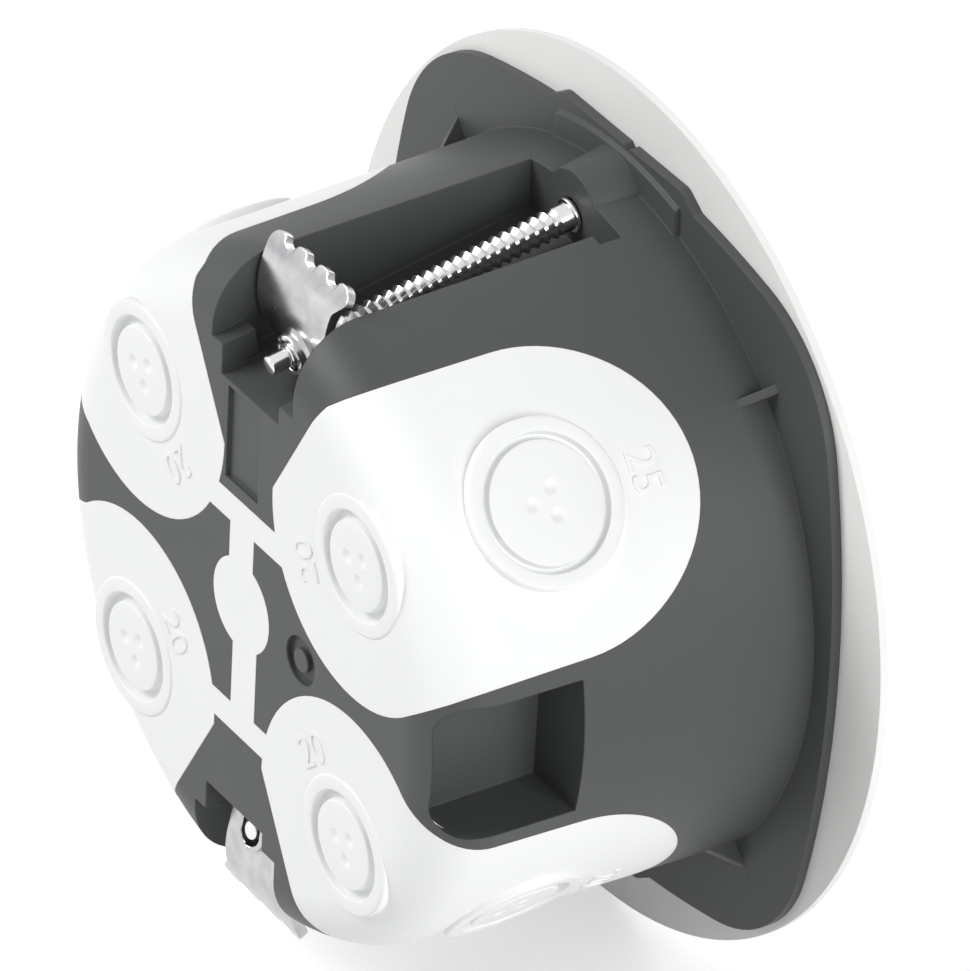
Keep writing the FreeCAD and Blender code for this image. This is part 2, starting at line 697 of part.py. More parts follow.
def box_shell(outer, skin, windows):
    """Rigid first shot: barrel, flange, channels, posts and pocket, less the soft skin's bed."""
    lanes = (("Upper", 1), ("Lower", -1))
    outside = [outer, flange()] + [lobe(side) for _, side in lanes]
    outside += [fin(f"Gusset{number}", 45 + 90 * number, S.gusset_thick / 2, S.gusset_reach,
                    S.gusset_length) for number in range(4)]
    outside += [rod("Boss" + name, S.boss_radius, 0, S.channel_front + S.boss_radius * sine(S.screw_tilt),
                    within=lane(side)) for name, side in lanes]
    outside.append(lobe_braces())
    hollow = cut("Hollow", join("Outside", outside), cup("Cavity", S.wall, MOUTH - OVER))
    inside = [channel_prism("Housing" + name, side, S.channel_drop + S.channel_wall, MOUTH,
                            S.box_depth, S.channel_half + S.channel_wall) for name, side in lanes]
    inside += [rod(f"Post{number}", S.post_radius, MOUTH, S.post_length, side * S.post_offset)
               for number, side in enumerate((-1, 1))]
    inside.append(pocket("PocketHousing", S.pocket_wall, S.box_depth))
    fitted = meet("Inside", outer, join("InsideParts", inside))
    tools = [channel_void(side, name) for name, side in lanes]
    tools += [screw_hole(side, name) for name, side in lanes]
    tools += [rod(f"PostBore{number}", S.post_bore, MOUTH - OVER, S.post_bore_depth,
                  side * S.post_offset) for number, side in enumerate((-1, 1))]
    tools += [pocket("PocketSpace", 0, S.box_depth - S.pocket_lip), skin] + back_marks() + windows
    return cut("BoxShell", join("Solid", [hollow, fitted]), join("ShellTools", tools))


# Cover and screws

def cross(name, y):
    """Cross recess for a screwdriver, sunk from a head's front."""
    half, arm = S.slot_wide / 2, S.slot_long / 2
    span = (y - OVER, y + S.slot_deep)
    return join(name, [block(name + "Across", (-arm, arm), span, (-half, half)),
                       block(name + "Upright", (-half, half), span, (-arm, arm))])


def cover():
    """Round cover with a rounded edge and two counterbored holes."""
    body = new_body("CoverDisc")
    front = MOUTH - S.cover_thick
    revolve(body, [(0, front), (S.cover_land, front, S.cover_dome, 1),
                   (S.cover_radius, MOUTH - S.cover_rim), (S.cover_radius, MOUTH), (0, MOUTH)])
    holes = []
    for number, side in enumerate((-1, 1)):
        x = side * S.post_offset
        holes.append(rod(f"CoverSink{number}", S.lid_screw_head + S.cover_clear, front - OVER,
                         front + S.cover_sink, x))
        holes.append(rod(f"CoverHole{number}", S.lid_screw_shank + S.cover_clear, front - OVER,
                         MOUTH + OVER, x))
    return cut("Cover", body, join("CoverHoles", holes))


def cover_screw(name, side):
    """Pan-head screw that holds the cover on its post."""
    body = new_body("Turned" + name)
    seat = MOUTH - S.cover_thick + S.cover_sink
    front = seat - S.lid_screw_head_high
    tip = S.lid_screw_tip
    point = S.lid_screw_shank / 2
    revolve(body, [(0, front), (S.lid_screw_head, front), (S.lid_screw_head, seat),
                   (S.lid_screw_shank, seat), (S.lid_screw_shank, tip - point), (point, tip),
                   (0, tip)])
    return bind(cut(name, body, cross("Cross" + name, front)), frame(x=side * S.post_offset))


def claw_screw(name, side):
    """Long screw of a claw, with a staked pin at its end."""
    body = new_body("Turned" + name)
    front = -S.head_front
    revolve(body, [(0, front), (S.head_radius, front), (S.head_radius, S.head_back),
                   (S.neck_radius, S.head_back), (S.neck_radius, S.thread_start),
                   (S.thread_radius, S.thread_start), (S.thread_radius, S.thread_end),
                   (S.pin_radius, S.thread_end), (S.pin_radius, S.pin_end), (0, S.pin_end)])
    return bind(cut(name, body, cross("Cross" + name, front)), lane(side))


# Claws

def claw_sheet(name):
    """Sheet of a claw seen from its side, curved towards the flange, as wide as the claw."""
    body = new_body("Curved" + name)
    inner, bend, start = S.claw_curve, S.claw_bend, S.claw_fold
    outer = inner + S.sheet_thick
    pad(body, "YZ_Plane", [(S.sheet_thick, -S.claw_foot), (S.sheet_thick, start, outer, 1),
                           (outer * cosine(bend) - inner, start + outer * sine(bend)),
                           (inner * cosine(bend) - inner, start + inner * sine(bend), inner, -1),
                           (0, start), (0, -S.claw_foot)], 2 * S.claw_wide, both_ways=True)
    return body


def claw_root(name):
    """Outline of a claw around its screw, up to the curve."""
    body = new_body("Root" + name, frame(y=S.sheet_thick + OVER))
    top = S.claw_fold + S.sheet_thick
    foot, neck = S.claw_foot, S.claw_neck
    pad(body, "XZ_Plane", [(-foot, 0, foot, 1), (0, -foot, foot, 1), (foot, 0), (neck, 0),
                           (neck, S.claw_step), (S.claw_wide, S.claw_step), (S.claw_wide, top),
                           (-neck, top), (-neck, 0)], S.sheet_thick + 2 * OVER)
    return body


def claw_leaf(name):
    """Toothed outline of a claw's leaf, square to the sheet at its teeth."""
    through = S.sheet_thick + 2 * OVER
    bend, curve = S.claw_bend, S.claw_curve
    where = (frame(y=curve * cosine(bend) - curve, z=S.claw_fold + curve * sine(bend), axis="x", turn=bend)
             + " * " + frame(y=S.sheet_thick + OVER))
    body = new_body("Leaf" + name, where)
    low, wide = -curve * sine(bend), S.claw_wide
    pad(body, "XZ_Plane", [(-S.claw_neck, low), (wide, low), (wide, 0), (-wide, 0),
                           (-wide, -S.claw_cheek), (-S.claw_waist, -S.claw_flare)], through)
    valley = ring(body, "XZ_Plane", -S.tooth_pitch, S.valley_radius - S.valley_deep, S.valley_radius)
    groove = body.newObject("PartDesign::Pocket", "ValleyCut" + name)
    groove.Profile = valley
    groove.Reversed = True
    bind(groove, Length=through)
    row = body.newObject("PartDesign::LinearPattern", "ValleyRow" + name)
    row.Originals = [groove]
    row.Direction = (valley, ["H_Axis"])
    row.Occurrences = 3
    bind(row, Length=2 * S.tooth_pitch)
    body.Tip = row
    soften(body, lambda edge: along(edge, Vector(0, 1, 0)) and near(edge.BoundBox.ZMax, 0)
           and not near(abs(edge.BoundBox.XMax), wide), S.tooth_round, "Tips")
    soften(body, lambda edge: along(edge, Vector(0, 1, 0)) and near(edge.BoundBox.ZMax, 0)
           and near(abs(edge.BoundBox.XMax), wide), S.corner_round, "Corners")
    return body


def claw(name, side, rest):
    """Bent sheet claw with its teeth, and the burred collar around its screw."""
    outlines = join("Outlines" + name, [claw_root(name), claw_leaf(name)])
    collar = rod("Collar" + name, S.collar_radius, 0, S.sheet_thick + S.collar_high)
    sheet = join("Sheet" + name, [meet("Blank" + name, claw_sheet(name), outlines), collar])
    bore = rod("ClawBore" + name, S.thread_radius + S.claw_clear, -OVER, OVER)
    return bind(cut(name, sheet, bore), lane(side) + " * " + frame(y=rest))


# The nodes

def check(item):
    """Stop if an object failed, or if its shape isn't one sound solid or more."""
    shape = item.Shape
    if shape.isNull() or not shape.isValid() or not shape.Solids:
        raise RuntimeError(f"{item.Label} has no sound shape")


def main():
    """Build every node, check the document and write one file per node."""
    outer = cup("Outer", 0, MOUTH)
    inner = cup("SkinBed", S.skin, MOUTH - OVER)
    skin = soft_skin(outer, inner)
    soft, windows = soft_entries(skin, inner)
    nodes = {
        "box_shell": box_shell(outer, skin, windows),
        "soft_entries": soft,
        "cover": cover(),
        "claw_upper": claw("ClawUpper", 1, S.rest_upper),
        "claw_lower": claw("ClawLower", -1, S.rest_lower),
        "claw_screw_upper": claw_screw("ClawScrewUpper", 1),
        "claw_screw_lower": claw_screw("ClawScrewLower", -1),
        "cover_screw_left": cover_screw("CoverScrewLeft", -1),
        "cover_screw_right": cover_screw("CoverScrewRight", 1),
    }
    DOC.recompute()
    failed = [item.Name for item in DOC.Objects if {"Invalid", "Error"} & set(item.State)]
    if failed:
        raise RuntimeError("not built: " + ", ".join(failed))
    os.makedirs("parts", exist_ok=True)
    for label, item in nodes.items():
        item.Label = label
        check(item)
        print(label, len(item.Shape.Solids), round(item.Shape.Volume, 1))
    for label, item in nodes.items():
        item.Shape.exportStep(f"parts/{label}.step")


main()
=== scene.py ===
"""Studio scene of a round wall box with claws and a screwed cover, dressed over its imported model.

Meshes are made in millimetres, in the frame of the box: the wall plane is y = 0, the barrel goes
back along +Y, and the claws lie above and below. They become metres when they are finished.
"""

from __future__ import annotations

import logging
from dataclasses import dataclass, field
from enum import Enum
from math import cos, hypot, pi, radians, sin, sqrt, tan
from typing import Sequence

import bmesh
import bpy
from mathutils import Matrix, Vector, noise
from mathutils.bvhtree import BVHTree
from mathutils.geometry import barycentric_transform

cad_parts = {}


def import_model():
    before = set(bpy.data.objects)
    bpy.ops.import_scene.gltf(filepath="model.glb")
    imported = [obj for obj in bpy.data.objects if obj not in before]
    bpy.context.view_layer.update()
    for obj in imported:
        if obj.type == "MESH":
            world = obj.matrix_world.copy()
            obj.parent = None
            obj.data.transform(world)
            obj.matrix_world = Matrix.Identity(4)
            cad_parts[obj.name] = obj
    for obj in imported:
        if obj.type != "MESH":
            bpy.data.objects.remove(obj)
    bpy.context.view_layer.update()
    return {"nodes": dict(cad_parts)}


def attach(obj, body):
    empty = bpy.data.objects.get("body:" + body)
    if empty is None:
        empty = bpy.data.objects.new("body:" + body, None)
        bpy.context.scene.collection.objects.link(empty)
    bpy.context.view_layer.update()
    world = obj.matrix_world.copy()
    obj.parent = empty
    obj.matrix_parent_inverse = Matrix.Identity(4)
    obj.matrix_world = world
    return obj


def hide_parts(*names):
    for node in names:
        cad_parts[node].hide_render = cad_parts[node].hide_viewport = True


LOG = logging.getLogger("wall_box")
MM = 0.001
TINY = 1e-6
WELD = 1e-4
Point = tuple[float, float]
Profile = Sequence[Point]
Colour = tuple[float, float, float, float]
Item = bpy.types.Object
Material = bpy.types.Material
Node = bpy.types.Node
Socket = bpy.types.NodeSocket
Tree = bpy.types.NodeTree
EditMesh = bmesh.types.BMesh
UNTURNED = Matrix.Identity(4)
Y_UP = Matrix.Rotation(radians(90), 4, "X")
Z_BACK = Matrix.Rotation(radians(-90), 4, "X")


class Side(Enum):
    """The two claws, above and below the box, as the model's node names say them."""

    UPPER = "upper"
    LOWER = "lower"


class BoolKind(Enum):
    """What a cutting tool does to a mesh."""

    CUT = "DIFFERENCE"
    JOIN = "UNION"
    KEEP = "INTERSECT"


def srgb(*parts: float) -> Colour:
    """Colour in linear light, from its parts as a screen shows them, 0 to 255."""
    shares = [part / 255 for part in parts]
    return (*(s / 12.92 if s <= 0.04045 else ((s + 0.055) / 1.055) ** 2.4 for s in shares), 1.0)


# Finishes


def feed(tree: Tree, node: Node, inputs: dict[str | int, object]) -> None:
    """Set or link a node's inputs.

    Args:
        tree: The node's tree.
        node: The node.
        inputs: What each input gets, by name or number: a value, or a socket to link.
    """
    for key, source in inputs.items():
        if isinstance(source, Socket):
            tree.links.new(source, node.inputs[key])
        else:
            node.inputs[key].default_value = source


def add_node(tree: Tree, kind: str, inputs: dict[str | int, object],
             **settings: str | int) -> Node:
    """Add a node to a tree.

    Args:
        tree: The tree.
        kind: The node's type.
        inputs: What each input gets, as feed takes it.
        settings: Properties of the node, which are set first.

    Returns:
        The node.
    """
    node = tree.nodes.new(kind)
    for name, setting in settings.items():
        setattr(node, name, setting)
    feed(tree, node, inputs)
    return node


def noise_value(tree: Tree, place: Socket, size: float, detail: float) -> Socket:
    """Noise from 0 to 1 over some coordinates, its pattern's size in millimetres."""
    inputs = {"Vector": place, "Scale": 1 / (size * MM), "Detail": detail}
    return add_node(tree, "ShaderNodeTexNoise", inputs).outputs["Fac"]


def ranged_value(tree: Tree, value: Socket, low: float, high: float) -> Socket:
    """Value from 0 to 1, stretched between two ends."""
    inputs = {"Value": value, "To Min": low, "To Max": high}
    return add_node(tree, "ShaderNodeMapRange", inputs).outputs["Result"]


def blended_colour(tree: Tree, share: Socket, low: Colour, high: Colour) -> Socket:
    """Blend of two colours by a share."""
    inputs = {"Factor": share, "A": low, "B": high}
    return add_node(tree, "ShaderNodeMix", inputs, data_type="RGBA").outputs["Result"]


def new_material(name: str) -> tuple[Material, Tree, Node]:
    """Start a material.

    Args:
        name: The material's name.

    Returns:
        The material, its nodes and its shader.
    """
    material = bpy.data.materials.new(name)
    material.use_nodes = True
    tree = material.node_tree
    return material, tree, tree.nodes["Principled BSDF"]


@dataclass(frozen=True)
class MouldedPlastic:
    """Plastic from a mould: soft gloss, faint mottling, and the fine grain of the tool."""

    name: str
    colour: Colour
    shade: float = 0.92
    roughness: float = 0.42
    grain: float = 0.012
    grain_size: float = 0.25
    edge: float = 0.0
    gloss: float = 0.5
    mottle_size: float = 9.0
    smoother: float = 0.05
    rougher: float = 0.07
    relief: float = 0.35

    def build(self) -> Material:
        """Make the material.

        Returns:
            A material that reads object coordinates only.
        """
        material, tree, shader = new_material(self.name)
        place = tree.nodes.new("ShaderNodeTexCoord").outputs["Object"]
        mottle = noise_value(tree, place, self.mottle_size, 4)
        bump = add_node(tree, "ShaderNodeBump", {
            "Strength": self.relief, "Distance": self.grain * MM,
            "Height": noise_value(tree, place, self.grain_size, 3)})
        if self.edge:
            edge = add_node(tree, "ShaderNodeBevel", {"Radius": self.edge * MM}, samples=6)
            tree.links.new(edge.outputs["Normal"], bump.inputs["Normal"])
        dark = tuple(part * self.shade for part in self.colour[:3]) + (1.0,)
        feed(tree, shader, {
            "Specular IOR Level": self.gloss, "Normal": bump.outputs["Normal"],
            "Base Color": blended_colour(tree, mottle, dark, self.colour),
            "Roughness": ranged_value(tree, mottle, self.roughness - self.smoother,
                                      self.roughness + self.rougher)})
        return material


@dataclass(frozen=True)
class PlatedSteel:
    """Zinc-plated steel: bright, with a fine drawn grain and faint dark patches, partly stain and
    partly painted reflection.
    """

    name: str
    colour: Colour
    stain_and_reflection: Colour
    roughness: float = 0.24
    grain: float = 0.02
    stretch: tuple[float, float, float] = (0.3, 1.0, 1.0)
    streak_size: float = 0.3
    spot_size: float = 2.2
    smoother: float = 0.06
    rougher: float = 0.1
    relief: float = 0.3

    def build(self) -> Material:
        """Make the material.

        Returns:
            A metallic material that reads object coordinates only.
        """
        material, tree, shader = new_material(self.name)
        place = tree.nodes.new("ShaderNodeTexCoord").outputs["Object"]
        drawn = add_node(tree, "ShaderNodeMapping", {"Vector": place, "Scale": self.stretch})
        streaks = noise_value(tree, drawn.outputs["Vector"], self.streak_size, 5)
        # spots blends in a darker tone at random: partly stain, partly painted dark reflection.
        spots = noise_value(tree, place, self.spot_size, 3)
        bump = add_node(tree, "ShaderNodeBump", {
            "Strength": self.relief, "Distance": self.grain * MM, "Height": streaks})
        feed(tree, shader, {
            "Metallic": 1.0, "Normal": bump.outputs["Normal"],
            "Base Color": blended_colour(tree, spots, self.stain_and_reflection, self.colour),
            "Roughness": ranged_value(tree, streaks, self.roughness - self.smoother,
                                      self.roughness + self.rougher)})
        return material


SHELL_GREY = MouldedPlastic("shell_grey", srgb(76, 78, 78), roughness=0.46, edge=0.2, gloss=0.3)
SOFT_WHITE = MouldedPlastic("soft_white", srgb(240, 241, 241), shade=0.97, roughness=0.5,
                            grain=0.006, edge=0.1)
COVER_WHITE = MouldedPlastic("cover_white", srgb(238, 238, 236), shade=0.97, roughness=0.38,
                             grain=0.004, edge=0.12)
# The claw's darker patch tone is partly stain and partly painted reflection of dark surroundings.
CLAW_ZINC = PlatedSteel("claw_zinc", srgb(214, 214, 215), srgb(156, 156, 159), roughness=0.22,
                        grain=0.012)
SCREW_ZINC = PlatedSteel("screw_zinc", srgb(236, 236, 236), srgb(214, 214, 215), roughness=0.16,
                         grain=0.006, stretch=(1.0, 1.0, 1.0))


# Mesh tools


def placed(name: str, data: bpy.types.ID) -> Item:
    """Put a new object in the scene.

    Args:
        name: The object's name.
        data: Its mesh, text, lamp or camera.

    Returns:
        The object, at the origin.
    """
    item = bpy.data.objects.new(name, data)
    bpy.context.scene.collection.objects.link(item)
    return item


def mesh_object(name: str, bm: EditMesh, place: Matrix = UNTURNED) -> Item:
    """Turn an edit mesh into an object of the scene.

    Args:
        name: The object's name.
        bm: The mesh, which is freed.
        place: Turn and shift of the mesh.

    Returns:
        The new object, at the origin.
    """
    mesh = bpy.data.meshes.new(name)
    bm.to_mesh(mesh)
    bm.free()
    mesh.transform(place)
    return placed(name, mesh)


def lathe_mesh(profile: Profile, segments: int, ring: bool = False) -> EditMesh:
    """Turn a profile about the Z axis into a closed mesh.

    Args:
        profile: Points (radius, height) from one pole to the other, or right round a section.
        segments: Faces around the axis.
        ring: Whether the profile's last point joins its first.

    Returns:
        The mesh, its faces outwards.
    """
    bm = bmesh.new()
    rings: list[list[bmesh.types.BMVert]] = []
    for radius, height in profile:
        if radius < TINY:
            rings.append([bm.verts.new((0, 0, height))])
            continue
        turns = [2 * pi * step / segments for step in range(segments)]
        rings.append([bm.verts.new((radius * cos(turn), radius * sin(turn), height))
                      for turn in turns])
    pairs = list(zip(rings, rings[1:])) + ([(rings[-1], rings[0])] if ring else [])
    for low, high in pairs:
        for step in range(segments):
            after = (step + 1) % segments
            corners = [low[step % len(low)], low[after % len(low)],
                       high[after % len(high)], high[step % len(high)]]
            kept = list(dict.fromkeys(corners))
            if len(kept) > 2:
                bm.faces.new(kept)
    bmesh.ops.recalc_face_normals(bm, faces=bm.faces[:])
    return bm


def prism_mesh(outline: Profile, low: float, high: float) -> EditMesh:
    """Raise a closed outline in XY into a prism between two heights.

    Args:
        outline: Corners of the outline, in order.
        low: Height of its foot.
        high: Height of its top.

    Returns:
        The mesh, its faces outwards.
    """
    bm = bmesh.new()
    foot = bm.faces.new([bm.verts.new((x, y, low)) for x, y in outline])
    grown = bmesh.ops.extrude_face_region(bm, geom=[foot])
    top = [item for item in grown["geom"] if isinstance(item, bmesh.types.BMVert)]
    bmesh.ops.translate(bm, verts=top, vec=(0, 0, high - low))
    bmesh.ops.recalc_face_normals(bm, faces=bm.faces[:])
    return bm


def slab(name: str, outline: Profile, front: float, back: float) -> Item:
    """Prism along Y between two depths, from its outline in XZ."""
    return mesh_object(name, prism_mesh(outline, -back, -front), Y_UP)


def turned_ring(name: str, section: Profile, segments: int) -> Item:
    """Ring about the Y axis, from its closed section in (radius, y)."""
    return mesh_object(name, lathe_mesh(section, segments, ring=True), Z_BACK)


def rectangle(left: float, right: float, low: float, high: float) -> list[Point]:
    """Corners of a rectangle, in order."""
    return [(left, low), (right, low), (right, high), (left, high)]


def circle(radius: float, steps: int, centre: Point = (0.0, 0.0)) -> list[Point]:
    """Points round a circle, the first not repeated."""
    return arc_points(centre, radius, 0, 360, steps)[:-1]


def arc_points(centre: Point, radius: float, start: float, end: float, steps: int) -> list[Point]:
    """Points along an arc, both ends included.

    Args:
        centre: The arc's centre.
        radius: Its radius.
        start: First angle, in degrees.
        end: Last angle, in degrees.
        steps: Stretches between the points.

    Returns:
        The points in order.
    """
    turns = [radians(start + (end - start) * step / steps) for step in range(steps + 1)]
    return [(centre[0] + radius * cos(t), centre[1] + radius * sin(t)) for t in turns]


def rounded(corners: Sequence[tuple[float, float, float]], steps: int) -> list[Point]:
    """Round the corners of a path.

    Args:
        corners: Points (x, y, radius); the first and last keep their place.
        steps: Stretches of each rounded corner.

    Returns:
        The path with arcs at its corners.
    """
    path: list[Point] = [corners[0][:2]]
    for before, here, after in zip(corners, corners[1:], corners[2:]):
        place = Vector(here[:2])
        back, ahead = Vector(before[:2]) - place, Vector(after[:2]) - place
        if here[2] <= 0:
            path.append(here[:2])
            continue
        half = back.angle(ahead) / 2
        reach = here[2] / tan(half)
        back.normalize()
        ahead.normalize()
        centre = place + (back + ahead).normalized() * (here[2] / sin(half))
        first = place + back * reach - centre
        last = place + ahead * reach - centre
        sweep = first.angle_signed(last)
        for step in range(steps + 1):
            turn = Matrix.Rotation(-sweep * step / steps, 2)
            spot = centre + turn @ first
            path.append((spot.x, spot.y))
    path.append(corners[-1][:2])
    return path


def combine(base: Item, tools: Sequence[Item], kind: BoolKind) -> None:
    """Apply cutting tools to a mesh and remove them.

    Args:
        base: The mesh that changes.
        tools: Closed meshes, used one after the other.
        kind: What the tools do.
    """
    for tool in tools:
        modifier = base.modifiers.new("tool", "BOOLEAN")
        modifier.operation = kind.value
        modifier.solver = "MANIFOLD"
        modifier.object = tool
        settled(base)
        bpy.data.objects.remove(tool)


def evaluated(item: Item) -> bpy.types.Mesh:
    """New mesh of an object as its modifiers, or its text, make it."""
    graph = bpy.context.evaluated_depsgraph_get()
    return bpy.data.meshes.new_from_object(item.evaluated_get(graph))


def settled(item: Item) -> None:
    """Replace an object's mesh by its evaluated one and drop its modifiers.

    Args:
        item: The object.
    """
    mesh = evaluated(item)
    item.modifiers.clear()
    item.data = mesh


def finish_piece(item: Item, material: Material, body: str,
                 replaced: Sequence[str] = (), crease: float = 32) -> None:
    """Turn a piece in millimetres into a finished one that rides on its body.

    Args:
        item: The piece, with its place in its mesh.
        material: Its finish.
        body: The body it moves with.
        replaced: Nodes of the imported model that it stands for.
        crease: Angle in degrees past which an edge is sharp.
    """
    item.data.transform(Matrix.Scale(MM, 4))
    item.data.materials.clear()
    item.data.materials.append(material)
    item.data.shade_smooth()
    item.data.set_sharp_from_angle(angle=radians(crease))
    if replaced:
        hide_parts(*replaced)
    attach(item, body)
    LOG.info("%s rides on %s with %d faces", item.name, body, len(item.data.polygons))


def radial_frame(angle: float) -> Matrix:
    """Frame whose X points outwards at an angle in the XZ plane and whose Y runs back."""
    return Matrix.Rotation(-radians(angle), 4, "Y")


# Forms shared by the pieces


@dataclass(frozen=True)
class Barrel:
    """Drafted barrel with a rounded back edge."""

    radius: float = 33.2
    draft: float = 1.9
    depth: float = 37.0
    rounding: float = 6.25
    mouth: float = -1.0
    levels: tuple[float, ...] = (7.0, 15.0, 23.0)
    shares: tuple[float, ...] = (0.75, 0.5, 0.25, 0.0)
    steps: int = 14

    def profile(self, inset: float) -> list[Point]:
        """Draw the barrel's section from its mouth to the middle of its back.

        Args:
            inset: Distance inside the outer surface.

        Returns:
            Points (radius, y), from the mouth's rim inwards to the axis.
        """
        slope = radians(self.draft)
        start = self.radius - inset / cos(slope)
        curve = self.rounding - inset
        back = self.depth - inset
        height = back - curve
        touch = height + curve * sin(slope)
        middle = start - touch * tan(slope) - curve * cos(slope)
        points = [(start - y * tan(slope), y) for y in (self.mouth, *self.levels)]
        points += arc_points((middle, height), curve, self.draft, 90, self.steps)
        points += [(share * middle, back) for share in self.shares]
        return points

    def at(self, y: float) -> float:
        """Outer radius of the straight wall at some depth."""
        return self.radius - y * tan(radians(self.draft))


BARREL = Barrel()


@dataclass(frozen=True)
class Entry:
    """Knock-through entry: a raised ring, a moat and a disc with three pricking dimples."""

    ring: float
    moat: float
    disc: float
    top: float
    place: float = 0.0
    moat_deep: float = 0.85
    dot_radius: float = 0.8
    dot_reach: float = 1.4
    dot_turn: float = 110.0
    dot_deep: float = 0.25
    dot_step: float = 0.12
    dots_end: float = 1.0
    ring_round: float = 0.3
    moat_round: float = 0.14
    wall: float = 0.12
    disc_round: float = 0.16
    disc_sunk: float = 0.04
    segments: int = 120

    def mesh(self, foot: float) -> EditMesh:
        """Insert of the entry, its axis along Z and its face upwards.

        Args:
            foot: Height of its hidden underside.

        Returns:
            The closed mesh.
        """
        top, floor, disc = self.top, self.top - self.moat_deep, self.top - self.disc_sunk
        dotted = self.dot_reach + self.dots_end
        steps = int(dotted / self.dot_step)
        fine = [dotted * step / steps for step in range(1, steps + 1)]
        corners = [(self.ring, foot, 0.0), (self.ring, top, self.ring_round),
                   (self.moat, top, self.moat_round), (self.moat - self.wall, floor, self.wall),
                   (self.disc + self.wall, floor, self.wall), (self.disc, disc, self.disc_round),
                   (fine[-1], disc, 0.0)]
        path = [(0.0, foot)] + rounded(corners, 4)
        path += [(radius, disc) for radius in reversed(fine[:-1])] + [(0.0, disc)]
        bm = lathe_mesh(path, self.segments)
        for vertex in bm.verts:
            if vertex.co.z > (floor + disc) / 2:
                vertex.co.z -= self.dimple(vertex.co.x, vertex.co.y)
        return bm

    def dimple(self, x: float, y: float) -> float:
        """Sink the pricking dimples into the disc.

        Args:
            x, y: A place on the disc.

        Returns:
            The dimples' depth there.
        """
        depth = 0.0
        for turn in (self.dot_turn, self.dot_turn + 120, self.dot_turn + 240):
            across = x - self.dot_reach * cos(radians(turn))
            up = y - self.dot_reach * sin(radians(turn))
            share = hypot(across, up) / self.dot_radius
            depth += self.dot_deep * (1 - share ** 2) ** 2 if share < 1 else 0.0
        return depth


@dataclass(frozen=True)
class Pad:
    """One soft pad: a strip over the back edge with a round end on the back and on the side."""

    name: str
    angle: float
    half: float
    side_entry: Entry
    round_end: float = 13.4
    end: float = 8.5
    over: float = 5.0
    steps: int = 40

    def cutters(self) -> list[Item]:
        """Prisms that cover the pad on the back and down the side.

        Returns:
            Two overlapping closed meshes.
        """
        far = BARREL.radius + self.over
        edge = BARREL.radius - BARREL.rounding
        reach = SoftEntries.reach
        back = arc_points((reach, 0), self.round_end, 90, 270, self.steps)
        back += [(edge, -self.half), (far, -self.half), (far, self.half), (edge, self.half)]
        low, high = BARREL.depth - BARREL.rounding, BARREL.depth + self.over
        top = slab("back_" + self.name, back, low, high)
        top.data.transform(radial_frame(self.angle))
        turn = self.end + self.half
        side = arc_points((turn, 0), self.half, 90, 270, self.steps)
        side += [(high, -self.half), (high, self.half)]
        cycle = Matrix(((0, 0, 1, 0), (1, 0, 0, 0), (0, 1, 0, 0), (0, 0, 0, 1)))
        flat = mesh_object("side_" + self.name, prism_mesh(side, edge, far),
                           radial_frame(self.angle) @ cycle)
        return [top, flat]


SMALL_BACK = Entry(ring=6.5, moat=5.07, disc=4.1, top=37.2)
SMALL_SIDE = Entry(ring=6.5, moat=5.07, disc=4.1, top=32.6, place=24.0)
LARGE_SIDE = Entry(ring=7.5, moat=6.13, disc=5.45, top=32.9, place=23.3, dot_turn=85.0)


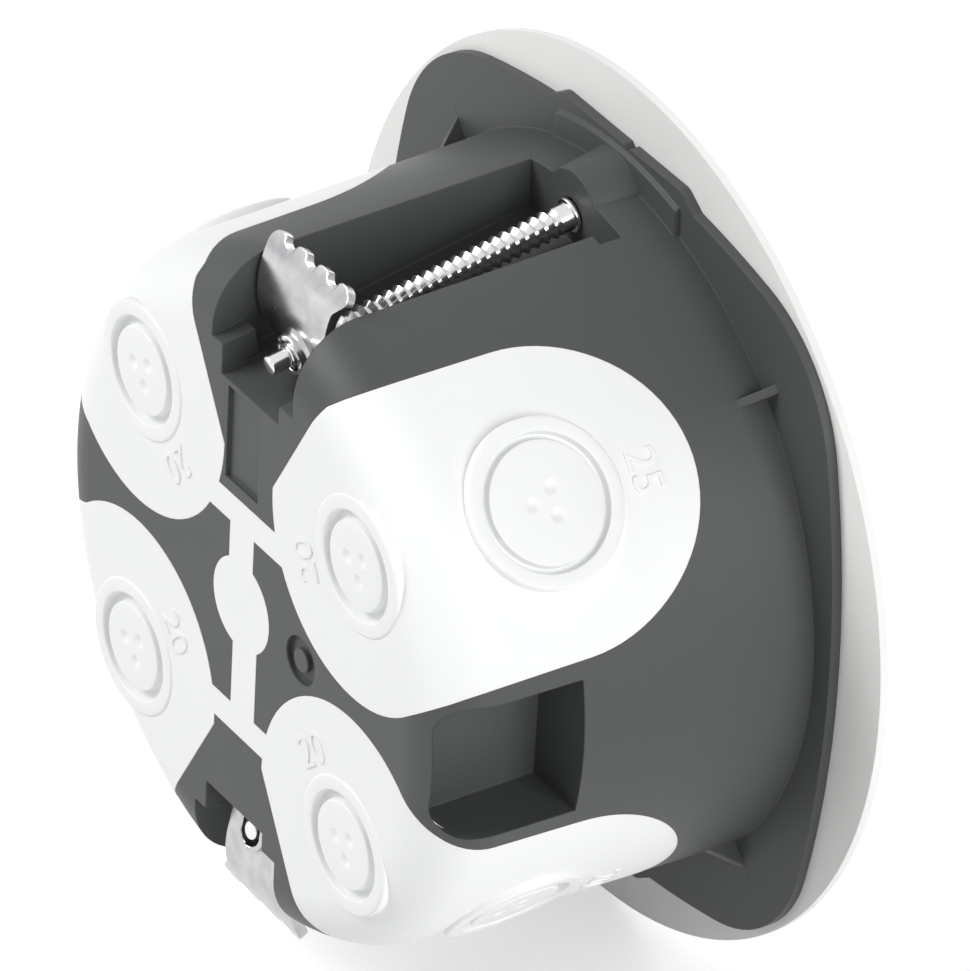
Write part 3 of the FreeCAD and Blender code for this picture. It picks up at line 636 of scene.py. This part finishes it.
@dataclass
class SoftEntries:
    """The pale soft skin: four pads joined by bars and a runner, with eight entries."""

    material: Material
    skin: float = 1.0
    proud: float = 0.03
    tongue_tip: Point = (3.81, 14.53)
    tongue_root: Point = (11.15, 27.4)
    far: float = 45.0
    over: float = 5.0
    bar_half: float = 6.7
    upper_bar: Point = (7.6, 10.4)
    lower_bar: Point = (-13.6, -10.8)
    upper_runner: Point = (-1.3, 2.5)
    lower_runner: Point = (-2.4, 1.4)
    gate_place: Point = (0.3, 0.0)
    gate: float = 4.5
    back_foot: float = 36.0
    side_foot: float = 31.1
    clear_under: float = 2.5
    clear_over: float = 3.0
    segments: int = 256
    reach = 22.6
    pads: tuple[Pad, ...] = (
        Pad("a", 40, 14.6, SMALL_SIDE), Pad("b", -40, 14.6, LARGE_SIDE),
        Pad("c", 140, 13.6, LARGE_SIDE), Pad("d", 220, 13.6, SMALL_SIDE))

    def layer(self) -> Item:
        """Skin over the whole barrel, before it is cut to the pads."""
        section = BARREL.profile(-self.proud) + BARREL.profile(self.skin)[::-1]
        return turned_ring("soft_entries_dressed", section, self.segments)

    def bars(self) -> list[Item]:
        """Make the bars, the runner and the gate disc that join the pads across the back.

        Returns:
            Closed blocks that overlap.
        """
        low, high = BARREL.depth - 2 * self.skin, BARREL.depth + self.over
        across = (-self.bar_half, self.bar_half)
        blocks = ((across, self.upper_bar), (across, self.lower_bar),
                  (self.upper_runner, (0.0, self.upper_bar[1])),
                  (self.lower_runner, (self.lower_bar[0], 0.0)))
        outlines = [rectangle(*wide, *tall) for wide, tall in blocks]
        outlines.append(circle(self.gate, 64, self.gate_place))
        return [slab("bar", outline, low, high) for outline in outlines]

    def tongues(self) -> list[Item]:
        """Make the tools that keep the skin off the shell around the claw channels.

        Returns:
            A wedge for each channel.
        """
        parts = []
        (tip, low), (root, high) = self.tongue_tip, self.tongue_root
        for sign in (1, -1):
            half = [(tip, sign * low), (root, sign * high), (root, sign * self.far)]
            outline = half + [(-x, z) for x, z in reversed(half)]
            parts.append(slab("tongue", outline, -self.over, self.far))
        return parts

    def entries(self) -> list[tuple[Item, Item]]:
        """Make the entries.

        Returns:
            Each entry's insert and the tool that clears its place.
        """
        made = []
        for pad in self.pads:
            x = self.reach * cos(radians(pad.angle))
            z = self.reach * sin(radians(pad.angle))
            behind = Matrix.Translation((x, 0, z)) @ Z_BACK
            beside = (radial_frame(pad.angle) @ Matrix.Translation((0, pad.side_entry.place, 0))
                      @ Matrix.Rotation(radians(90), 4, "Y"))
            for entry, foot, where in ((SMALL_BACK, self.back_foot, behind),
                                       (pad.side_entry, self.side_foot, beside)):
                clear = prism_mesh(circle((entry.ring + entry.moat) / 2, 96),
                                   foot - self.clear_under, entry.top + self.clear_over)
                made.append((mesh_object("entry", entry.mesh(foot), where),
                             mesh_object("clear", clear, where)))
        return made

    def build(self) -> Item:
        """Make the whole skin as one piece.

        Returns:
            The finished piece.
        """
        layer = self.layer()
        cover, *others = [tool for pad in self.pads for tool in pad.cutters()] + self.bars()
        combine(cover, others, BoolKind.JOIN)
        combine(layer, [cover], BoolKind.KEEP)
        combine(layer, self.tongues(), BoolKind.CUT)
        pairs = self.entries()
        combine(layer, [tool for _, tool in pairs], BoolKind.CUT)
        combine(layer, [insert for insert, _ in pairs], BoolKind.JOIN)
        finish_piece(layer, self.material, "box", ["soft_entries"])
        return layer


@dataclass
class EntryNumbers:
    """Plain raised numbers on the pads, one beside each entry."""

    material: Material
    tall: float = 3.0
    tall_share: float = 0.7
    proud: float = 0.16
    sunk: float = 0.25
    gap: float = 0.9
    bearings: tuple[float, ...] = (225, 140, -27, 50)

    def digits(self, words: str) -> EditMesh:
        """Raised digits, flat in XY and centred, their height along Z.

        Args:
            words: The digits.

        Returns:
            The mesh.
        """
        curve = bpy.data.curves.new("number", "FONT")
        curve.body = words
        curve.size = self.tall / self.tall_share
        curve.align_x = curve.align_y = "CENTER"
        curve.extrude = (self.proud + self.sunk) / 2
        curve.resolution_u = 4
        item = placed("number", curve)
        bm = bmesh.new()
        bm.from_mesh(evaluated(item))
        bpy.data.objects.remove(item)
        bmesh.ops.remove_doubles(bm, verts=bm.verts, dist=WELD)
        middle = sum((vertex.co.y for vertex in bm.verts), 0.0) / len(bm.verts)
        for vertex in bm.verts:
            vertex.co.y -= middle
            vertex.co.z += (self.proud - self.sunk) / 2
        return bm

    def behind(self, pad: Pad, bearing: float) -> EditMesh:
        """Make the number beside a pad's entry on the back.

        Args:
            pad: The pad.
            bearing: Where the number stands round the entry, in degrees from +X.

        Returns:
            The mesh in the box's frame.
        """
        turn = radians(bearing)
        outward = Vector((cos(turn), 0, sin(turn)))
        along = outward.cross(Vector((0, 1, 0)))
        middle = radial_frame(pad.angle) @ Vector((SoftEntries.reach, BARREL.depth, 0))
        middle += outward * (SMALL_BACK.ring + self.gap + self.tall / 2)
        bm = self.digits("20")
        for vertex in bm.verts:
            across, up, lift = vertex.co
            vertex.co = middle + along * across + outward * up + Vector((0, lift, 0))
        return bm

    def beside(self, pad: Pad) -> EditMesh:
        """Make the number in front of a pad's entry on the side, laid round the barrel.

        Args:
            pad: The pad.

        Returns:
            The mesh in the box's frame.
        """
        entry = pad.side_entry
        middle = entry.place - entry.ring - self.gap - self.tall / 2
        bm = self.digits("25" if entry is LARGE_SIDE else "20")
        for vertex in bm.verts:
            across, up, lift = vertex.co
            y = middle - up
            radius = BARREL.at(y) + lift
            turn = radians(pad.angle) + across / radius
            vertex.co = Vector((radius * cos(turn), y, radius * sin(turn)))
        return bm

    def build(self) -> Item:
        """Make all the numbers as one piece.

        Returns:
            The finished piece.
        """
        whole = bmesh.new()
        for pad, bearing in zip(SoftEntries.pads, self.bearings):
            for bm in (self.behind(pad, bearing), self.beside(pad)):
                mesh = bpy.data.meshes.new("number")
                bm.to_mesh(mesh)
                bm.free()
                whole.from_mesh(mesh)
        bmesh.ops.recalc_face_normals(whole, faces=whole.faces[:])
        item = mesh_object("entry_numbers", whole)
        finish_piece(item, self.material, "box")
        return item


# Claw screws


@dataclass(frozen=True)
class Lane:
    """Where a claw screw lies: its place in the wall plane and its tilt."""

    side: Side
    offset: float = 31.2
    tilt: float = 11.0

    def matrix(self) -> Matrix:
        """Place the lane.

        Returns:
            Frame with Y back along the screw and Z out of the box.
        """
        over = Matrix.Rotation(0 if self.side is Side.UPPER else pi, 4, "Y")
        lean = Matrix.Rotation(-radians(self.tilt), 4, "X")
        return over @ Matrix.Translation((0, 0, self.offset)) @ lean

    def standing(self) -> Matrix:
        """Frame whose Z runs back along the screw."""
        return self.matrix() @ Z_BACK


class ThreadTree:
    """Geometry Nodes tree that winds a thread round a screw's core."""

    def __init__(self, material: Material) -> None:
        """Build the tree.

        Args:
            material: Finish of the screw and its thread.
        """
        self.tree = bpy.data.node_groups.new("screw_thread", "GeometryNodeTree")
        face = self.tree.interface
        face.new_socket("Core", in_out="INPUT", socket_type="NodeSocketGeometry")
        face.new_socket("Screw", in_out="OUTPUT", socket_type="NodeSocketGeometry")
        self.keys = {}
        for name in ("Radius", "Pitch", "Start", "Length", "Across", "Foot"):
            item = face.new_socket(name, in_out="INPUT", socket_type="NodeSocketFloat")
            self.keys[name] = item.identifier
        tree, size = self.tree, self.tree.nodes.new("NodeGroupInput").outputs
        turns = add_node(tree, "ShaderNodeMath", {0: size["Length"], 1: size["Pitch"]},
                         operation="DIVIDE")
        helix = add_node(tree, "GeometryNodeCurveSpiral", {
            "Resolution": 48, "Reverse": True, "Rotations": turns.outputs[0],
            "Start Radius": size["Radius"], "End Radius": size["Radius"],
            "Height": size["Length"]})
        upright = add_node(tree, "GeometryNodeSetCurveNormal",
                           {"Curve": helix.outputs["Curve"]}, mode="Z_UP")
        ridge = add_node(tree, "GeometryNodeCurvePrimitiveQuadrilateral", {
            "Width": size["Across"], "Bottom Height": size["Foot"],
            "Top Height": size["Foot"]}, mode="KITE")
        solid = add_node(tree, "GeometryNodeCurveToMesh", {
            "Fill Caps": True, "Curve": upright.outputs["Curve"],
            "Profile Curve": ridge.outputs["Curve"]})
        lift = add_node(tree, "ShaderNodeCombineXYZ", {"Z": size["Start"]})
        shift = add_node(tree, "GeometryNodeTransform", {
            "Geometry": solid.outputs["Mesh"], "Translation": lift.outputs["Vector"]})
        both = add_node(tree, "GeometryNodeJoinGeometry", {"Geometry": size["Core"]})
        feed(tree, both, {"Geometry": shift.outputs["Geometry"]})
        real = add_node(tree, "GeometryNodeRealizeInstances",
                        {"Geometry": both.outputs["Geometry"]})
        dress = add_node(tree, "GeometryNodeSetMaterial", {
            "Material": material, "Geometry": real.outputs["Geometry"]})
        add_node(tree, "NodeGroupOutput", {"Screw": dress.outputs["Geometry"]})

    def wind(self, item: Item, **sizes: float) -> None:
        """Wind the thread round an object whose axis is Z, and make it plain mesh.

        Args:
            item: The screw's core.
            sizes: Inputs of the tree by name, in millimetres.
        """
        modifier = item.modifiers.new("thread", "NODES")
        modifier.node_group = self.tree
        for name, size in sizes.items():
            modifier[self.keys[name]] = float(size)
        settled(item)


@dataclass
class ClawScrew:
    """Long claw screw with a rolled thread and a staked pin."""

    lane: Lane
    material: Material
    thread: ThreadTree
    head: float = 2.6
    front: float = -0.1
    seat: float = 1.8
    neck: float = 1.2
    thread_start: float = 6.4
    thread_end: float = 34.0
    core: float = 1.0
    crest: float = 1.42
    pitch: float = 1.0
    shank: float = 1.28
    rim: float = 1.65
    rim_at: float = 4.8
    rim_thick: float = 0.35
    pin: float = 0.9
    pin_end: float = 36.06
    run_out: float = 0.5
    lead: float = 0.2
    root_proud: float = 0.02
    head_round: float = 0.3
    rim_round: float = 0.08
    rim_edge: float = 0.12
    rim_foot: float = 0.05
    end_round: float = 0.1
    pin_round: float = 0.18
    slot_half: float = 0.35
    slot_reach: float = 1.5
    slot_deep: float = 0.8

    def slots(self) -> list[Item]:
        """Make the blocks that sink the cross recess into the head.

        Returns:
            Two closed blocks.
        """
        low, high = self.front - self.slot_reach, self.front + self.slot_deep
        return [mesh_object("slot", prism_mesh(rectangle(-x, x, -y, y), low, high))
                for x, y in ((self.slot_reach, self.slot_half), (self.slot_half, self.slot_reach))]

    def build(self) -> Item:
        """Make the screw.

        Returns:
            The finished piece.
        """
        start, end = self.thread_start, self.thread_end
        rim_end = self.rim_at + self.rim_thick
        corners = [(0, self.front, 0), (self.head, self.front, self.head_round),
                   (self.head, self.seat, self.end_round), (self.neck, self.seat, 0),
                   (self.neck, self.rim_at, 0), (self.rim, self.rim_at, self.rim_round),
                   (self.rim, rim_end, self.rim_edge),
                   (self.shank, rim_end + self.rim_foot, self.rim_foot), (self.shank, start, 0),
                   (self.core, start + self.run_out, 0), (self.core, end, self.end_round),
                   (self.pin, end + self.end_round, 0),
                   (self.pin, self.pin_end, self.pin_round), (0, self.pin_end, 0)]
        node = f"claw_screw_{self.lane.side.value}"
        item = mesh_object(node + "_dressed", lathe_mesh(rounded(corners, 4), 64))
        combine(item, self.slots(), BoolKind.CUT)
        root = self.core + self.root_proud
        self.thread.wind(item, Radius=root, Pitch=self.pitch, Start=start + self.lead,
                         Length=end - start - self.run_out, Across=2 * (self.crest - root),
                         Foot=self.pitch / 2)
        item.data.transform(self.lane.standing())
        finish_piece(item, self.material, node, [node], crease=25)
        return item


# Claws


@dataclass
class Claw:
    """Sheet claw: a root plate with a burred collar and a curved leaf with four teeth."""

    lane: Lane
    material: Material
    rest: float
    thick: float = 1.0
    foot: float = 2.3
    neck: float = 4.4
    waist: float = 4.9
    wide: float = 6.1
    step: float = 0.45
    fold: float = 1.7
    bend: float = 45.0
    curve: float = 8.9
    cheek: float = 1.5
    flare: float = 2.8
    tooth: float = 3.3
    valley: float = 1.0
    valley_deep: float = 0.8
    bore: float = 1.45
    collar: float = 1.95
    collar_high: float = 1.0
    collar_sunk: float = 0.2
    collar_wide: float = 0.45
    collar_edge: float = 0.05
    collar_fillet: float = 0.3
    collar_round: float = 0.2
    bore_round: float = 0.12
    tear: float = 0.22
    tear_from: float = 0.4
    tear_size: float = 2.4
    edge: float = 0.1
    tip_round: float = 0.42
    corner_round: float = 1.2
    cheek_round: float = 0.6
    waist_round: float = 0.8
    neck_round: float = 0.3
    step_round: float = 0.2
    shoulder_round: float = 0.4
    valley_turn: float = 18.0
    strips: int = 18

    @property
    def slack(self) -> float:
        """Length of the curve along the middle of the sheet."""
        return (self.curve + self.thick / 2) * radians(self.bend)

    def outline(self) -> list[Point]:
        """Draw the flat sheet's outline.

        Returns:
            Its points (across, up), anticlockwise.
        """
        top, turn = self.fold + self.slack, self.valley_turn
        lift = self.valley - self.valley_deep
        spread = sqrt(self.valley ** 2 - lift ** 2)
        path = arc_points((0, 0), self.foot, 180, 360, 24)
        right = [(self.foot, 0, 0), (self.neck, 0, self.neck_round),
                 (self.neck, self.step, self.step_round),
                 (self.wide, self.step, self.shoulder_round), (self.wide, top, self.corner_round)]
        crown = []
        for place in (self.tooth, 0.0, -self.tooth):
            arc = arc_points((place, top + lift), self.valley, -turn, turn - 180, 10)
            crown += [(place + spread, top, self.tip_round)] + [(x, y, 0.0) for x, y in arc]
            crown += [(place - spread, top, self.tip_round)]
        left = [(-self.wide, top, self.corner_round),
                (-self.wide, top - self.cheek, self.cheek_round),
                (-self.waist, top - self.flare, self.waist_round),
                (-self.neck, self.fold, self.waist_round),
                (-self.neck, 0, self.neck_round), (-self.foot, 0, 0)]
        path += rounded(right + crown + left, 5)[1:-1]
        return path

    def place(self, x: float, height: float, depth: float) -> Vector:
        """Bend a point of the flat sheet.

        Args:
            x: Across the sheet.
            height: Up the sheet.
            depth: Into its thickness, from its front.

        Returns:
            The point in the lane's frame, before the claw's rest.
        """
        if height <= self.fold:
            return Vector((x, depth, height))
        angle = (height - self.fold) / self.slack * radians(self.bend)
        radius = self.curve + depth
        return Vector((x, radius * cos(angle) - self.curve,
                       self.fold + radius * sin(angle)))

    def sheet(self) -> Item:
        """Make the sheet with softened edges and its hole, and bend it to shape.

        Returns:
            The bent sheet.
        """
        bm = prism_mesh(self.outline(), 0, self.thick)
        rims = [edge for edge in bm.edges
                if abs(edge.verts[0].co.z - edge.verts[1].co.z) < TINY]
        bmesh.ops.bevel(bm, geom=rims, offset=self.edge, segments=2, profile=0.5, affect="EDGES")
        item = mesh_object(f"claw_{self.lane.side.value}_dressed", bm)
        through = prism_mesh(circle(self.bore, 48), -self.thick, 2 * self.thick)
        combine(item, [mesh_object("bore", through)], BoolKind.CUT)
        bm = bmesh.new()
        bm.from_mesh(item.data)
        for strip in range(self.strips):
            height = self.fold + self.slack * strip / self.strips
            bmesh.ops.bisect_plane(bm, geom=bm.verts[:] + bm.edges[:] + bm.faces[:], dist=1e-5,
                                   plane_co=(0, height, 0), plane_no=(0, 1, 0))
        for vertex in bm.verts:
            vertex.co = self.place(vertex.co.x, vertex.co.y, vertex.co.z)
        bmesh.ops.reverse_faces(bm, faces=bm.faces[:])
        bm.to_mesh(item.data)
        bm.free()
        return item

    def burr(self) -> Item:
        """Make the collar, drawn out of the sheet round the hole, with a torn rim.

        Returns:
            The closed ring.
        """
        low, high = self.thick - self.collar_sunk, self.thick + self.collar_high
        foot = self.collar + self.collar_wide
        corners = [(self.bore, low, 0), (self.bore, high, self.bore_round),
                   (self.collar, high, self.collar_round),
                   (self.collar, self.thick + self.collar_fillet, self.collar_fillet),
                   (foot, self.thick - self.collar_edge, 0), (foot, low, 0)]
        bm = lathe_mesh(rounded(corners, 4), 72, ring=True)
        for vertex in bm.verts:
            if vertex.co.z > self.thick + self.tear_from:
                spot = Vector((vertex.co.x, vertex.co.y, 0)).normalized() * self.tear_size
                vertex.co.z += self.tear * noise.noise(spot + Vector((0, 0, self.rest)))
        return mesh_object("burr", bm, Z_BACK)

    def build(self) -> Item:
        """Make the claw.

        Returns:
            The finished piece.
        """
        item = self.sheet()
        combine(item, [self.burr()], BoolKind.JOIN)
        item.data.transform(self.lane.matrix() @ Matrix.Translation((0, self.rest, 0)))
        node = f"claw_{self.lane.side.value}"
        finish_piece(item, self.material, node, [node], crease=20)
        return item


# Shell


@dataclass
class Shell:
    """The dark shell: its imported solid, with the lobes' braces and the gussets cut finer."""

    material: Material
    lobe: float = 11.0
    pad_high: float = 0.4
    boss: float = 4.1
    gusset_lip: float = 2.3
    gusset_long: float = 2.8
    spare: float = 0.01
    back: float = 7.0
    far: float = 45.0
    segments: int = 256
    touch: float = 0.002
    plate_side: float = 3.6
    plate_foot: float = 11.5
    plate_top: float = 21.0
    plate_rim: float = 0.7
    rim_deep: float = 0.5
    inward: float = 0.02
    aligned: float = 0.99

    def lobes(self) -> Item:
        """Block over both lobes, as wide as their braces."""
        return slab("lobes", rectangle(-self.lobe, self.lobe, -2 * self.far, 2 * self.far),
                    -self.far, self.far)

    def braces(self) -> Item:
        """Make what comes off the braces behind the lobes' pads, clear of the round bosses.

        Returns:
            The tool, in two parts.
        """
        section = [(BARREL.at(self.pad_high) + self.spare, self.pad_high),
                   (BARREL.at(self.back) + self.spare, self.back),
                   (self.far, self.back), (self.far, self.pad_high)]
        item = turned_ring("braces", section, self.segments)
        combine(item, [self.lobes()], BoolKind.KEEP)
        around = circle(self.boss + self.spare, 96)
        combine(item, [mesh_object("boss", prism_mesh(around, -self.far, self.far),
                                   Lane(side).standing()) for side in Side], BoolKind.CUT)
        return item

    def gussets(self) -> Item:
        """Make what comes off the gussets outside their seen slope.

        Returns:
            The tool, cut away at the lobes.
        """
        section = [(BARREL.radius + self.gusset_lip, self.spare),
                   (BARREL.at(self.gusset_long) + self.spare, self.gusset_long),
                   (BARREL.at(self.back) + self.spare, self.back),
                   (self.far, self.back), (self.far, self.spare)]
        item = turned_ring("gussets", section, self.segments)
        combine(item, [self.lobes()], BoolKind.CUT)
        return item

    def rim(self) -> Item:
        """Make the rim between the sunk plate and the pad beside it.

        Returns:
            The closed rim.
        """
        outline = rectangle(self.plate_side, self.plate_side + self.plate_rim,
                            self.plate_foot, self.plate_top)
        back = BARREL.depth - self.spare
        return slab("rim", outline, back - self.rim_deep, back)

    def build(self, node: Item) -> Item:
        """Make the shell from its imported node.

        Args:
            node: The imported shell, which stays as it is.

        Returns:
            The finished piece.
        """
        bm = bmesh.new()
        bm.from_mesh(node.data)
        bm.transform(Matrix.Scale(1 / MM, 4))
        bmesh.ops.remove_doubles(bm, verts=bm.verts, dist=WELD)
        item = mesh_object("box_shell_dressed", bm)
        combine(item, [self.braces(), self.gussets()], BoolKind.CUT)
        combine(item, [self.rim()], BoolKind.JOIN)
        finish_piece(item, self.material, "box", ["box_shell"], crease=0)
        self.shade(item.data, node.data)
        return item

    def shade(self, mesh: bpy.types.Mesh, packed: bpy.types.Mesh) -> None:
        """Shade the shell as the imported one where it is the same, and flat where it is cut.

        Args:
            mesh: The shell's mesh, in metres.
            packed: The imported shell's mesh.
        """
        spots = [vertex.co for vertex in packed.vertices]
        tree = BVHTree.FromPolygons(spots, [face.vertices[:] for face in packed.polygons])
        normals = [Vector((0, 0, 1))] * len(mesh.loops)
        for face in mesh.polygons:
            for corner in face.loop_indices:
                place = mesh.vertices[mesh.loops[corner].vertex_index].co
                inside = place.lerp(face.center, self.inward)
                hit, facing, index, gap = tree.find_nearest(inside)
                normals[corner] = face.normal.copy()
                if gap < self.touch * MM and facing.dot(face.normal) > self.aligned:
                    under = packed.polygons[index]
                    ends = [spots[vertex] for vertex in under.vertices]
                    own = [packed.corner_normals[loop].vector for loop in under.loop_indices]
                    normals[corner] = barycentric_transform(hit, *ends, *own).normalized()
        mesh.normals_split_custom_set(normals)


# Studio


@dataclass(frozen=True)
class Lamp:
    """Soft square light: its place and side in metres, its power in watts."""

    name: str
    place: tuple[float, float, float]
    power: float
    side: float = 0.8

    def build(self, aim: Vector) -> None:
        """Hang the light.

        Args:
            aim: What it faces.
        """
        data = bpy.data.lights.new(self.name, "AREA")
        data.size = self.side
        data.energy = self.power
        light = placed(self.name, data)
        light.location = self.place
        light.rotation_euler = (aim - Vector(self.place)).to_track_quat("-Z", "Y").to_euler()


@dataclass
class Studio:
    """Pale floor, soft lights and the camera at the photograph's angle."""

    aim: Vector = field(default_factory=lambda: Vector((5.45, 8.45, 0.16)) * MM)
    azimuth: float = 235.16
    elevation: float = 33.59
    roll: float = 3.1
    distance: float = 0.9022
    focal: float = 379.25
    floor_height: float = -0.0419
    floor_half: float = 3.0
    floor_shade: float = 0.75
    floor_lift: float = 0.45
    ambient: float = 0.22
    lamps: tuple[Lamp, ...] = (Lamp("behind", (0.635, 0.918, 0.854), 15.0),
                               Lamp("beside", (-1.115, -0.05, 0.454), 10.8),
                               Lamp("before", (0.35, -1.05, 0.5), 5.5))

    def camera(self) -> None:
        """Place the camera."""
        data = bpy.data.cameras.new("camera")
        data.lens = self.focal
        data.clip_start = 0.01
        camera = bpy.context.scene.camera = placed("camera", data)
        across, up = radians(self.azimuth), radians(self.elevation)
        forward = Vector((-sin(across) * cos(up), cos(across) * cos(up),
                          -sin(up)))
        turn = forward.to_track_quat("-Z", "Y").to_matrix().to_4x4()
        lean = Matrix.Rotation(radians(self.roll), 4, "Z")
        camera.matrix_world = Matrix.Translation(self.aim - forward * self.distance) @ turn @ lean

    def world(self) -> None:
        """White surroundings for the camera and for reflections, dimmer as a light."""
        world = bpy.data.worlds.new("surroundings")
        bpy.context.scene.world = world
        world.use_nodes = True
        tree = world.node_tree
        feed(tree, tree.nodes["Background"], {
            "Color": (1, 1, 1, 1), "Strength": self.seen(tree, self.ambient, 1.0)})

    def seen(self, tree: Tree, low: float, high: float) -> Socket:
        """Value that differs where the camera, or a reflection, looks at a surface directly.

        Args:
            tree: The material's or world's nodes.
            low: The value for other rays.
            high: The value for rays that look.

        Returns:
            The socket that gives the value.
        """
        rays = tree.nodes.new("ShaderNodeLightPath").outputs
        value = rays["Is Camera Ray"]
        for name in ("Is Glossy Ray", "Is Transmission Ray"):
            either = add_node(tree, "ShaderNodeMath", {0: value, 1: rays[name]},
                              operation="MAXIMUM")
            value = either.outputs[0]
        return ranged_value(tree, value, low, high)

    def floor(self) -> None:
        """Lay the pale floor under the cover's rim."""
        bm = bmesh.new()
        bmesh.ops.create_grid(bm, x_segments=1, y_segments=1, size=self.floor_half)
        item = mesh_object("floor", bm, Matrix.Translation((0, 0, self.floor_height)))
        material, tree, shader = new_material("floor_white")
        feed(tree, shader, {
            "Base Color": (*[self.floor_shade] * 3, 1), "Roughness": 0.9,
            "Specular IOR Level": 0.1, "Emission Color": (1, 1, 1, 1),
            "Emission Strength": self.seen(tree, 0.0, self.floor_lift)})
        item.data.materials.append(material)

    def build(self) -> None:
        """Make the studio."""
        self.camera()
        self.world()
        self.floor()
        for lamp in self.lamps:
            lamp.build(self.aim)
        bpy.context.scene.view_settings.view_transform = "Standard"


def dress_nodes(frame: dict) -> None:
    """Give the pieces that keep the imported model's own shape their finishes.
    """
    finishes = {"cover": COVER_WHITE.build(), "cover_screw_left": SCREW_ZINC.build()}
    finishes["cover_screw_right"] = finishes["cover_screw_left"]
    for name, material in finishes.items():
        mesh = frame["nodes"][name].data
        mesh.materials.clear()
        mesh.materials.append(material)
        LOG.info("%s keeps its packed shape", name)


def main() -> None:
    """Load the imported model, build the studio and every dressed piece."""
    logging.basicConfig(level=logging.INFO, format="%(name)s: %(message)s")
    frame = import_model()
    Studio().build()
    dress_nodes(frame)
    Shell(SHELL_GREY.build()).build(frame["nodes"]["box_shell"])
    soft_finish = SOFT_WHITE.build()
    SoftEntries(soft_finish).build()
    EntryNumbers(soft_finish).build()
    claw_finish, screw_finish = CLAW_ZINC.build(), SCREW_ZINC.build()
    thread = ThreadTree(screw_finish)
    for side, rest in ((Side.UPPER, 32.0), (Side.LOWER, 34.06)):
        lane = Lane(side)
        ClawScrew(lane, screw_finish, thread).build()
        Claw(lane, claw_finish, rest).build()


if __name__ == "__main__":
    main()
